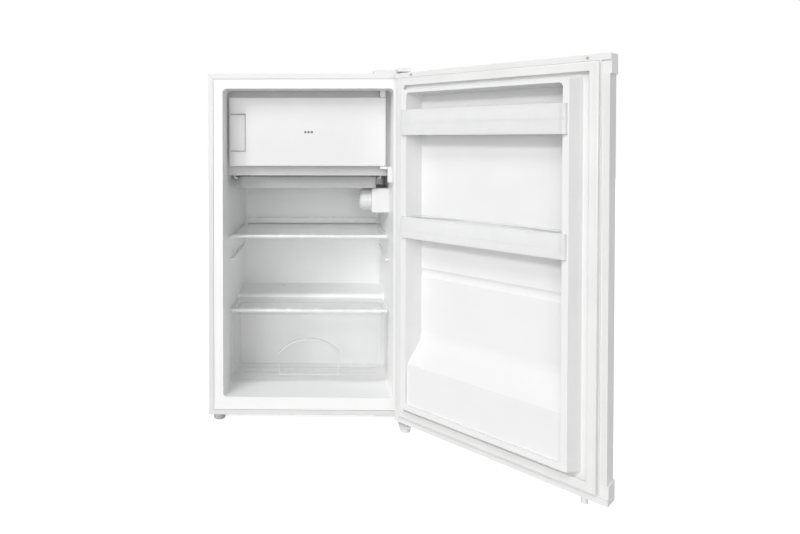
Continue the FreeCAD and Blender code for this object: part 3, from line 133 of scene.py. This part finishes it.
def shade(colour, factor):
    """A colour scaled, as RGBA."""
    return (colour[0] * factor, colour[1] * factor, colour[2] * factor, 1.0)


def moulded(name, colour, rough, grain=0.0006, relief=0.00002, sway=0.00012, soil=0.94):
    """Moulded or formed plastic: fine spark-eroded grain, slow waviness, and faint handling marks."""
    graph = Graph(name)
    blotch = graph.noise(0.09, 3.0)
    marks = graph.noise(0.02, 5.0)
    tone = graph.blend(graph.remap(blotch, 0.35, 0.7, 0.0, 1.0), shade(colour, 1.0), shade(colour, soil))
    smear = graph.remap(marks, 0.4, 0.75, rough - 0.05, rough + 0.09)
    wavy = graph.bump(graph.noise(0.06, 1.0), sway)
    grainy = graph.bump(graph.noise(grain, 3.0), relief, 0.6, wavy)
    body = graph.node("BsdfPrincipled", Base_Color=tone, Roughness=smear, Normal=grainy, IOR=1.49)
    return graph.finish(body.outputs["BSDF"])


def enamelled(name, colour, rough, peel=0.0022, relief=0.00003):
    """Powder-coated steel: orange peel under a clear gloss, with hairline scuffs."""
    graph = Graph(name)
    blotch = graph.noise(0.14, 2.0)
    tone = graph.blend(graph.remap(blotch, 0.3, 0.7, 0.0, 1.0), shade(colour, 1.0), shade(colour, 0.965))
    scuffs = graph.noise(0.004, 6.0, graph.stretched((1.0, 0.12, 0.9)))
    dull = graph.remap(scuffs, 0.6, 0.72, rough, rough + 0.16)
    waves = graph.bump(graph.noise(0.11, 1.0), 0.00018)
    peeled = graph.bump(graph.noise(peel, 1.5), relief, 0.7, waves)
    body = graph.node(
        "BsdfPrincipled", Base_Color=tone, Roughness=dull, Normal=peeled, IOR=1.5,
        Coat_Weight=0.35, Coat_Roughness=0.12,
    )
    return graph.finish(body.outputs["BSDF"])


def plated(name, colour, rough, flake=0.006, contrast=0.75, anisotropic=0.0):
    """Zinc-coated or drawn metal, with crystal flakes that differ in tone and polish."""
    graph = Graph(name)
    flakes = graph.node("TexVoronoi", Vector=graph.place, Scale=1.0 / flake)
    tint = graph.node("SeparateColor", Color=flakes.outputs["Color"]).outputs["Red"]
    tone = graph.blend(tint, shade(colour, 1.0), shade(colour, contrast))
    dust = graph.noise(0.03, 4.0)
    dull = graph.math("ADD", graph.remap(tint, 0.0, 1.0, rough - 0.06, rough + 0.08),
                      graph.remap(dust, 0.5, 0.8, 0.0, 0.15))
    uneven = graph.bump(graph.noise(0.003, 3.0), 0.00002)
    body = graph.node(
        "BsdfPrincipled", Base_Color=tone, Roughness=dull, Normal=uneven, Metallic=1.0,
        Anisotropic=anisotropic,
    )
    return graph.finish(body.outputs["BSDF"])


def clear(name, colour, rough, film, edge, grain=0.0, relief=0.0):
    """Thin clear plastic or glass: see-through face on, with more of its own tone seen edge-on."""
    graph = Graph(name)
    smears = graph.noise(0.05, 4.0)
    dull = graph.remap(smears, 0.45, 0.8, rough, rough + 0.08)
    normal = graph.bump(graph.noise(0.03, 1.0), 0.00006)
    if relief:
        normal = graph.bump(graph.noise(grain, 2.0), relief, 1.0, normal)
    body = graph.node(
        "BsdfPrincipled", Base_Color=shade(colour, 0.92), Roughness=dull, Normal=normal, IOR=1.5,
    )
    passing = graph.node("BsdfTransparent", Color=shade(colour, 1.0))
    facing = graph.node("LayerWeight", Blend=0.35).outputs["Facing"]
    cloud = graph.remap(smears, 0.3, 0.8, film, film * 1.08)
    share = graph.math("ADD", cloud, graph.math("MULTIPLY", facing, edge))
    mixed = graph.node("MixShader", Fac=share)
    graph.tree.links.new(passing.outputs["BSDF"], mixed.inputs[1])
    graph.tree.links.new(body.outputs["BSDF"], mixed.inputs[2])
    return graph.finish(mixed.outputs["Shader"])


def foamed(name, colour):
    """Cut rigid foam with fine open cells."""
    graph = Graph(name)
    pores = graph.cells(0.0016)
    tone = graph.blend(graph.remap(pores, 0.1, 0.6, 0.0, 1.0), shade(colour, 0.7), shade(colour, 1.0))
    pitted = graph.bump(pores, 0.0005)
    body = graph.node("BsdfPrincipled", Base_Color=tone, Roughness=0.9, Normal=pitted)
    return graph.finish(body.outputs["BSDF"])


# One material for each slot of the record: name, colour, roughness, and the maker's own numbers.
MATERIALS = {
    "white_enamel": enamelled("white enamel", (0.79, 0.79, 0.788), 0.28),
    "grey_enamel": enamelled("black enamel", (0.03, 0.03, 0.032), 0.4, 0.0015, 0.00005),
    "galvanised": plated("galvanised sheet", (0.58, 0.6, 0.61), 0.42, 0.012, 0.82),
    "zinc_steel": plated("zinc plated steel", (0.66, 0.66, 0.64), 0.34, 0.002, 0.9),
    "copper": plated("drawn copper", (0.72, 0.4, 0.26), 0.33, 0.02, 0.7),
    "insulation": foamed("rigid foam", (0.84, 0.79, 0.66)),
    "white_liner": moulded(
        "formed liner plastic", (0.83, 0.83, 0.83), 0.34, 0.0009, 0.000015, 0.0002, 0.98,
    ),
    "white_plastic": moulded("white moulded plastic", (0.8, 0.8, 0.8), 0.36, soil=0.97),
    "evaporator_metal": plated("evaporator aluminium", (0.8, 0.805, 0.81), 0.52, 0.003, 0.97, 0.3),
    "clear_plastic": clear(
        "clear styrene", (0.987, 0.987, 0.988), 0.05, 0.06, 0.3, 0.0012, 0.00001,
    ),
    "smoke_plastic": clear(
        "smoked styrene", (0.74, 0.742, 0.745), 0.12, 0.6, 0.3, 0.0012, 0.00002,
    ),
    "shelf_glass": clear("shelf glass", (0.972, 0.978, 0.976), 0.01, 0.07, 0.35),
    "trim_plastic": moulded("shelf trim plastic", (0.86, 0.865, 0.87), 0.25, soil=0.97),
    "seal_rubber": moulded(
        "soft seal vinyl", (0.8, 0.8, 0.795), 0.5, 0.0008, 0.00003, 0.0003, 0.95,
    ),
    "black_rubber": moulded("black rubber", (0.02, 0.02, 0.02), 0.6, 0.0007, 0.00005, 0.0, 0.7),
    "dark_plastic": moulded(
        "dark moulded plastic", (0.09, 0.09, 0.095), 0.45, 0.0008, 0.00004, 0.0, 0.85,
    ),
    "grey_plastic": moulded(
        "grey moulded plastic", (0.5, 0.505, 0.51), 0.45, 0.0008, 0.00003, 0.0, 0.92,
    ),
}

# Nodes whose tone differs from the rest of their slot. The freezer frame's grey is painted shade, and the cabinet
# liner's lighter tone is painted light.
BIN_STYRENE = clear("bin styrene", (0.985, 0.986, 0.988), 0.07, 0.66, 0.3, 0.0012, 0.00001)
# Painted light: the cabinet liner is a lighter copy of the liner plastic, brightening the cabinet's inside.
TUB_LINER_PAINTED_LIGHT = moulded(
    "cabinet liner painted light", (0.935, 0.935, 0.935), 0.36, 0.0009, 0.000015, 0.0002, 0.985,
)
# Painted shade: the freezer frame is darkened to grey to stand for the shade under the freezer door.
FRAME_PAINTED_SHADE = moulded("freezer frame painted shade", (0.6, 0.6, 0.6), 0.4)
OWN_MATERIAL = {
    "door_top_bin": BIN_STYRENE,
    "door_middle_bin": BIN_STYRENE,
    "door_peg": MATERIALS["white_plastic"],
    "freezer_frame": FRAME_PAINTED_SHADE,
    "inner_liner": TUB_LINER_PAINTED_LIGHT,
}


def dress(thing, material):
    """Give an object one material on every slot it has."""
    thing.data.materials.clear()
    thing.data.materials.append(material)


for part in frame["record"]["subparts"]:
    node = part["node"]
    dress(NODES[node], OWN_MATERIAL.get(node, MATERIALS[part["material_slot"]]))


# ------------------------------------------------------------------ pieces made here

# The door's own frame: the hinge's pins as its Z axis, and X along the shut door.
HINGE = JOINTS["door_hinge"]
DOOR = Matrix.Translation(HINGE["pos_m"]) @ Matrix.Rotation(-math.radians(HINGE["range_deg"][0]), 4, "Z")


def extent(spots):
    """Lowest and highest corners of a set of points."""
    low = Vector([min(spot[axis] for spot in spots) for axis in range(3)])
    high = Vector([max(spot[axis] for spot in spots) for axis in range(3)])
    return low, high


def door_box(node):
    """Lowest and highest corners of a door node in the door's own frame, where it hangs shut."""
    back = DOOR.inverted()
    return extent([back @ vertex.co for vertex in NODES[node].data.vertices])


def adopt(thing, slot, body, material=None):
    """Put a finished piece in the scene, dressed and riding on a body."""
    bpy.context.scene.collection.objects.link(thing)
    dress(thing, material or MATERIALS[slot])
    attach(thing, body)
    return thing


def solid(name, mesh_maker, slot, body, place=None):
    """A mesh piece from a function that fills a bmesh, smooth except at its sharp edges."""
    shape = bmesh.new()
    mesh_maker(shape)
    bmesh.ops.recalc_face_normals(shape, faces=shape.faces)
    if place is not None:
        shape.transform(place)
    mesh = bpy.data.meshes.new(name)
    shape.to_mesh(mesh)
    shape.free()
    mesh.shade_smooth()
    mesh.set_sharp_from_angle(angle=math.radians(SHARP_DEG))
    return adopt(bpy.data.objects.new(name, mesh), slot, body)


def bead(name, points, radius, slot, body, closed=True, material=None):
    """A round bead along straight runs."""
    line = bpy.data.curves.new(name, "CURVE")
    line.dimensions = "3D"
    line.bevel_depth = radius
    line.bevel_resolution = 3
    spline = line.splines.new("POLY")
    spline.points.add(len(points) - 1)
    for spot, point in zip(spline.points, points):
        spot.co = (*point, 1.0)
    spline.use_cyclic_u = closed
    return adopt(bpy.data.objects.new(name, line), slot, body, material)


def rounded(loop, times):
    """A closed loop of pairs with its corners cut back again and again."""
    for _ in range(times):
        finer = []
        for first, second in zip(loop, loop[1:] + loop[:1]):
            for share in (0.25, 0.75):
                finer.append(tuple(a + (b - a) * share for a, b in zip(first, second)))
        loop = finer
    return loop


def frame_sweep(shape, low, high, profile):
    """A mitred frame in the XZ plane whose section is a loop of (distance inwards, rise along Y)."""
    rings = []
    for side, end in ((-1, -1), (1, -1), (1, 1), (-1, 1)):
        corner_x = low.x if side < 0 else high.x
        corner_z = low.z if end < 0 else high.z
        rings.append([
            shape.verts.new((corner_x - side * inward, low.y + rise, corner_z - end * inward))
            for inward, rise in profile
        ])
    for ring, following in zip(rings, rings[1:] + rings[:1]):
        for index in range(len(profile)):
            onward = (index + 1) % len(profile)
            shape.faces.new((ring[index], ring[onward], following[onward], following[index]))


def make_seal():
    """The door's seal: a magnet pocket on two soft folds, mitred at the corners."""
    low, high = door_box("door_gasket")
    wide = 17.5 * MM
    tall = high.y - low.y
    section = [
        (0.05, 0.0), (0.95, 0.0), (0.98, 0.1), (0.8, 0.22), (0.99, 0.36), (0.84, 0.48), (1.0, 0.6),
        (1.0, 0.9), (0.9, 1.0), (0.55, 0.95), (0.12, 1.0), (0.0, 0.9), (0.0, 0.62), (0.16, 0.5),
        (0.0, 0.38), (0.2, 0.22), (0.02, 0.1),
    ]
    profile = [(inward * wide, rise * tall) for inward, rise in rounded(section, 2)]

    def fill(shape):
        frame_sweep(shape, low, high, profile)
    seal = solid("door_seal", fill, "seal_rubber", "door", DOOR)
    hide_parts("door_gasket")


def dome(shape, centre, normal, radius, height, cross=0.0):
    """A shallow dome on a surface, with a cross recess of that half width when asked for."""
    turn = Vector(normal).to_track_quat("Z", "Y").to_matrix().to_4x4()
    place = Matrix.Translation(centre) @ turn
    spokes = 48
    recess_reach, recess_floor = 0.65, 0.25
    steps = (
        (1.0, 0.0), (0.99, 0.35), (0.9, 0.72), (0.74, 0.9), (0.56, 0.97), (0.4, 0.99), (0.24, 1.0),
        (0.12, 1.0),
    )
    rings = []
    for reach, rise in steps:
        ring = []
        for spoke in range(spokes):
            angle = math.tau * spoke / spokes
            x, y = reach * radius * math.cos(angle), reach * radius * math.sin(angle)
            sunk = min(abs(x), abs(y)) < cross and reach < recess_reach
            z = height * (recess_floor if sunk else rise)
            ring.append(shape.verts.new(place @ Vector((x, y, z))))
        rings.append(ring)
    for ring, inner in zip(rings, rings[1:]):
        for spoke in range(spokes):
            onward = (spoke + 1) % spokes
            shape.faces.new((ring[spoke], ring[onward], inner[onward], inner[spoke]))
    shape.faces.new(rings[-1])
    shape.faces.new(list(reversed(rings[0])))


def islands(node):
    """The boxes of a node's separate solids."""
    weld = 0.01 * MM
    shape = bmesh.new()
    shape.from_mesh(NODES[node].data)
    bmesh.ops.remove_doubles(shape, verts=shape.verts, dist=weld)
    left = set(shape.verts)
    boxes = []
    while left:
        reached = [left.pop()]
        spots = []
        while reached:
            vertex = reached.pop()
            spots.append(vertex.co.copy())
            for edge in vertex.link_edges:
                other = edge.other_vert(vertex)
                if other in left:
                    left.remove(other)
                    reached.append(other)
        boxes.append(extent(spots))
    shape.free()
    return boxes


def make_screws():
    """Cross-recess heads in place of the plain ones on the back."""
    tall, cross = 2.4 * MM, 0.55 * MM

    def fill(shape):
        for low, high in islands("rear_panel_screws"):
            middle = (low + high) / 2
            radius = (high.x - low.x) / 2
            start = Vector((middle.x, high.y - tall, middle.z))
            dome(shape, start, (0, 1, 0), radius, tall, cross)
    heads = solid("rear_screw_heads", fill, "zinc_steel", "cabinet")
    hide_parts("rear_panel_screws")


def make_dots():
    """Three small dark domes in the middle of the freezer's door."""
    low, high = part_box("freezer_door_front")
    middle = (low[2] + high[2]) / 2
    radius, tall, sunk, drop = 2.7 * MM, 1.0 * MM, 0.7 * MM, 0.5 * MM

    def fill(shape):
        for place in (-8.0, 0.0, 8.0):
            dome(shape, (place * MM, low[1] + sunk, middle - drop), (0, -1, 0), radius, tall)
    solid("freezer_door_dots", fill, "dark_plastic", "freezer_door")


def make_grip_painted_shade():
    """A grey bead in the inner corner of the finger recess at the freezer door's free edge: painted shade for the
    recess's shadow line.
    """
    low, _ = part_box("freezer_door_front")
    radius = 1.5 * MM
    wide, deep, foot, tall = 41 * MM, 5 * MM, 36 * MM, 95 * MM
    start, end = low[0] + 4 * MM, low[0] + wide - radius
    y = low[1] + deep - radius
    under, over = low[2] + foot + radius, low[2] + foot + tall - radius
    corners = [(start, y, over), (end, y, over), (end, y, under), (start, y, under)]
    # The grey bead is painted shade along the recess's edge.
    bead("freezer_grip_painted_shade", corners, radius, "grey_plastic", "freezer_door", closed=False)


def make_dial_marks():
    """A pointer ridge and a rising scale of dots on the end of the thermostat's knob."""
    low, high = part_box("thermostat_knob")
    centre = Vector((low[0], (low[1] + high[1]) / 2, (low[2] + high[2]) / 2))
    marks, first_deg, step_deg, circle = 7, 30, 40, 15
    beads, pitch, sunk = 9, 1.7, 0.1

    def scale(shape):
        for index in range(marks):
            angle = math.radians(first_deg + step_deg * index)
            spot = centre + Vector((sunk, -circle * math.sin(angle), -circle * math.cos(angle))) * MM
            dome(shape, spot, (-1, 0, 0), (0.7 + 0.17 * index) * MM, 0.5 * MM)

    def pointer(shape):
        for index in range(beads):
            spot = centre + Vector((sunk, 0, 2.0 + pitch * index)) * MM
            dome(shape, spot, (-1, 0, 0), 1.1 * MM, 0.7 * MM)
    solid("knob_scale", scale, "dark_plastic", "thermostat_knob")
    solid("knob_pointer", pointer, "grey_plastic", "thermostat_knob")


def make_bin_rims():
    """A rolled rim round the top of each door bin."""
    radius = 1.3 * MM
    flare, shoulder, lip = 14.5 * MM, 25.0 * MM, 7.2 * MM
    for node in ("door_top_bin", "door_middle_bin"):
        low, high = door_box(node)
        z = high.z - radius
        front, step, back = high.y - radius, high.y - lip + radius, low.y + radius
        outline = [
            (low.x + radius, front), (high.x - radius, front), (high.x - radius, step),
            (high.x - flare + radius, step), (high.x - shoulder, back), (low.x + shoulder, back),
            (low.x + flare - radius, step), (low.x + radius, step),
        ]
        outline = rounded(outline, 2)
        points = [DOOR @ Vector((x, y, z)) for x, y in outline]
        bead(node + "_rim", points, radius, "clear_plastic", node, material=BIN_STYRENE)


def make_crisper_rim():
    """A rolled rim round the top of the drawer and two stiffening ribs in its floor."""
    low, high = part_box("crisper_drawer")
    radius = 1.5 * MM
    z = high[2] - radius
    corners = [
        (low[0] + radius, low[1] + radius), (high[0] - radius, low[1] + radius),
        (high[0] - radius, high[1] - radius), (low[0] + radius, high[1] - radius),
    ]
    outline = rounded([
        tuple(a + (b - a) * share for a, b in zip(first, second))
        for first, second in zip(corners, corners[1:] + corners[:1])
        for share in (0.06, 0.94)
    ], 2)
    bead("crisper_rim", [(x, y, z) for x, y in outline], radius, "clear_plastic", "crisper_drawer")
    inset, rib, level = 18 * MM, 1.2 * MM, low[2] + 2.4 * MM
    for index, depth in enumerate((0.4, 0.7)):
        y = low[1] + (high[1] - low[1]) * depth
        ends = [(low[0] + inset, y, level), (high[0] - inset, y, level)]
        bead(f"crisper_rib_{index + 1}", ends, rib, "clear_plastic", "crisper_drawer", closed=False)


def make_scoop_lip():
    """A moulded lip along the arch of the drawer's finger scoop, and an edge down its sides and foot."""
    low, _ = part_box("crisper_drawer")
    radius = 1.4 * MM
    half, rise, wall = 76 * MM, 34 * MM, 2.2 * MM
    crest = low[2] + 102 * MM
    sweep = (half * half + rise * rise) / (2 * rise)
    spread = math.asin(half / sweep)
    middle = crest - sweep
    reach = sweep + wall / 2
    steps = 24
    points = []
    for step in range(steps + 1):
        angle = spread * (2 * step / steps - 1)
        points.append((reach * math.sin(angle), low[1] + radius, middle + reach * math.cos(angle)))
    bead("crisper_scoop_lip", points, radius, "clear_plastic", "crisper_drawer", closed=False,
         material=BIN_STYRENE)
    thin = 0.8 * MM
    foot = low[2] + 14 * MM
    level = points[0][2]
    sides = [(points[0][0], low[1] + thin, level), (-half, low[1] + thin, foot),
             (half, low[1] + thin, foot), (points[-1][0], low[1] + thin, level)]
    bead("crisper_scoop_edge", sides, thin, "clear_plastic", "crisper_drawer", closed=False,
         material=BIN_STYRENE)


def make_channels():
    """Refrigerant channels pressed into the evaporator's walls and roof."""
    low, high = [Vector(corner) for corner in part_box("evaporator_box")]
    corner, sheet, margin, radius = 16 * MM, 1.5 * MM, 26 * MM, 2.4 * MM
    rows, bend_steps, bend_deg = 6, 5, 18
    left, right = low.x + sheet, high.x - sheet
    roof, foot = high.z - sheet, low.z + 30 * MM
    section = [(left, foot), (left, roof - corner)]
    for step in range(1, bend_steps + 1):
        angle = math.radians(bend_deg * step)
        across, down = corner * (1 - math.cos(angle)), corner * (1 - math.sin(angle))
        section.append((left + across, roof - down))
    section += [(right + left - x, z) for x, z in reversed(section)]
    points = []
    for row in range(rows):
        y = low.y + margin + (high.y - low.y - 2 * margin) * row / (rows - 1)
        sweep = section if row % 2 == 0 else list(reversed(section))
        points += [(x, y, z) for x, z in sweep]
    bead("evaporator_channels", points, radius, "evaporator_metal", "cabinet", closed=False)


def make_lip_seams():
    """Hairline mitres where the case's front lips meet at the corners."""
    low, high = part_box("outer_case")
    lip, start, half = 12 * MM, 1.5 * MM, 0.22 * MM
    face = low[1] - 0.05 * MM
    deep = Vector((0, 0.3 * MM, 0))

    def fill(shape):
        for x, side in ((low[0], 1), (high[0], -1)):
            outer = Vector((x + side * start, face, high[2] - start))
            inner = Vector((x + side * lip, face, high[2] - lip))
            across = (inner - outer).normalized().cross(Vector((0, 1, 0))) * half
            corners = (outer - across, inner - across, inner + across, outer + across)
            front = [shape.verts.new(spot) for spot in corners]
            behind = [shape.verts.new(vertex.co + deep) for vertex in front]
            shape.faces.new(front)
            shape.faces.new(list(reversed(behind)))
            for index in range(4):
                onward = (index + 1) % 4
                shape.faces.new((front[index], front[onward], behind[onward], behind[index]))
    solid("case_lip_seams", fill, "grey_plastic", "cabinet")


make_seal()
make_screws()
make_dots()
make_grip_painted_shade()
make_dial_marks()
make_bin_rims()
make_crisper_rim()
make_scoop_lip()
make_channels()
make_lip_seams()


# ------------------------------------------------------------------ studio

FLOOR_REACH = 9.0
FLOOR_GLOW_UNSEEN, FLOOR_GLOW_SEEN = 0.08, 0.8
SURROUND_UNSEEN, SURROUND_SEEN = 0.35, 1.0

# Distant lamps: name, azimuth and elevation in degrees, strength, width in degrees.
SUNS = (
    ("key", -44.0, 26.0, 0.98, 10.0),
    ("fill", -9.0, 0.0, 1.34, 50.0),
    ("top", -26.0, 46.0, 0.78, 16.0),
    ("side", 118.0, 25.0, 0.9, 30.0),
)

# The photograph's camera, solved from the cabinet and the door: metres, degrees, shares of the frame.
SENSOR_MM, LENS_MM = 36.0, 27.25
SHIFT_X, SHIFT_Y = 0.1, -0.146
CAMERA_AT = (0.0535, -1.6434, 0.679)
CAMERA_TURN_DEG, CAMERA_TILT_DEG = 0.96, 89.05


def studio():
    """A pale floor, a white surround, four soft lamps, and the camera."""
    mesh = bpy.data.meshes.new("studio_floor")
    reach = FLOOR_REACH
    corners = [(-reach, -reach, 0), (reach, -reach, 0), (reach, reach, 0), (-reach, reach, 0)]
    mesh.from_pydata(corners, [], [(0, 1, 2, 3)])
    floor = bpy.data.objects.new("studio_floor", mesh)
    bpy.context.scene.collection.objects.link(floor)
    graph = Graph("studio floor")
    tone = graph.remap(graph.noise(0.6, 2.0), 0.3, 0.7, 0.0, 1.0)
    seen = graph.node("LightPath").outputs["Is Camera Ray"]
    body = graph.node(
        "BsdfPrincipled",
        Base_Color=graph.blend(tone, (0.56, 0.56, 0.56, 1.0), (0.54, 0.54, 0.54, 1.0)),
        Roughness=0.8,
        Emission_Color=(1.0, 1.0, 1.0, 1.0),
        Emission_Strength=graph.remap(seen, 0.0, 1.0, FLOOR_GLOW_UNSEEN, FLOOR_GLOW_SEEN),
    )
    mesh.materials.append(graph.finish(body.outputs["BSDF"]))

    surround()
    for lamp in SUNS:
        sun(*lamp)

    lens = bpy.data.cameras.new("studio_camera")
    lens.sensor_width = SENSOR_MM
    lens.lens = LENS_MM
    lens.shift_x = SHIFT_X
    lens.shift_y = SHIFT_Y
    camera = bpy.data.objects.new("studio_camera", lens)
    bpy.context.scene.collection.objects.link(camera)
    turn = Matrix.Rotation(math.radians(CAMERA_TURN_DEG), 4, "Z")
    tilt = Matrix.Rotation(math.radians(CAMERA_TILT_DEG), 4, "X")
    camera.matrix_world = Matrix.Translation(CAMERA_AT) @ (turn @ tilt)
    bpy.context.scene.camera = camera


def surround():
    """A dim even surround that the camera sees as plain white, and the render's colour and bounces.

    More transparent bounces than Cycles' own 8 let light reach what lies behind several clear walls.
    """
    world = bpy.data.worlds.new("white surround")
    world.use_nodes = True
    tree = world.node_tree
    background = tree.nodes["Background"]
    background.inputs["Color"].default_value = (1.0, 1.0, 1.0, 1.0)
    path = tree.nodes.new("ShaderNodeLightPath")
    level = tree.nodes.new("ShaderNodeMapRange")
    level.inputs["To Min"].default_value = SURROUND_UNSEEN
    level.inputs["To Max"].default_value = SURROUND_SEEN
    tree.links.new(path.outputs["Is Camera Ray"], level.inputs["Value"])
    tree.links.new(level.outputs["Result"], background.inputs["Strength"])
    scene = bpy.context.scene
    scene.world = world
    scene.view_settings.view_transform = "Standard"
    scene.cycles.transparent_max_bounces = 32
    scene.cycles.diffuse_bounces = 8


def sun(name, azimuth, elevation, strength, width):
    """A distant soft lamp, its azimuth counted from straight in front towards the right."""
    light = bpy.data.lights.new(name + "_lamp", "SUN")
    light.energy = strength
    light.angle = math.radians(width)
    holder = bpy.data.objects.new(name + "_lamp", light)
    bpy.context.scene.collection.objects.link(holder)
    side, rise = math.radians(azimuth), math.radians(elevation)
    level = math.cos(rise)
    source = Vector((math.sin(side) * level, -math.cos(side) * level, math.sin(rise)))
    holder.rotation_euler = (-source).to_track_quat("-Z", "Y").to_euler()


studio()
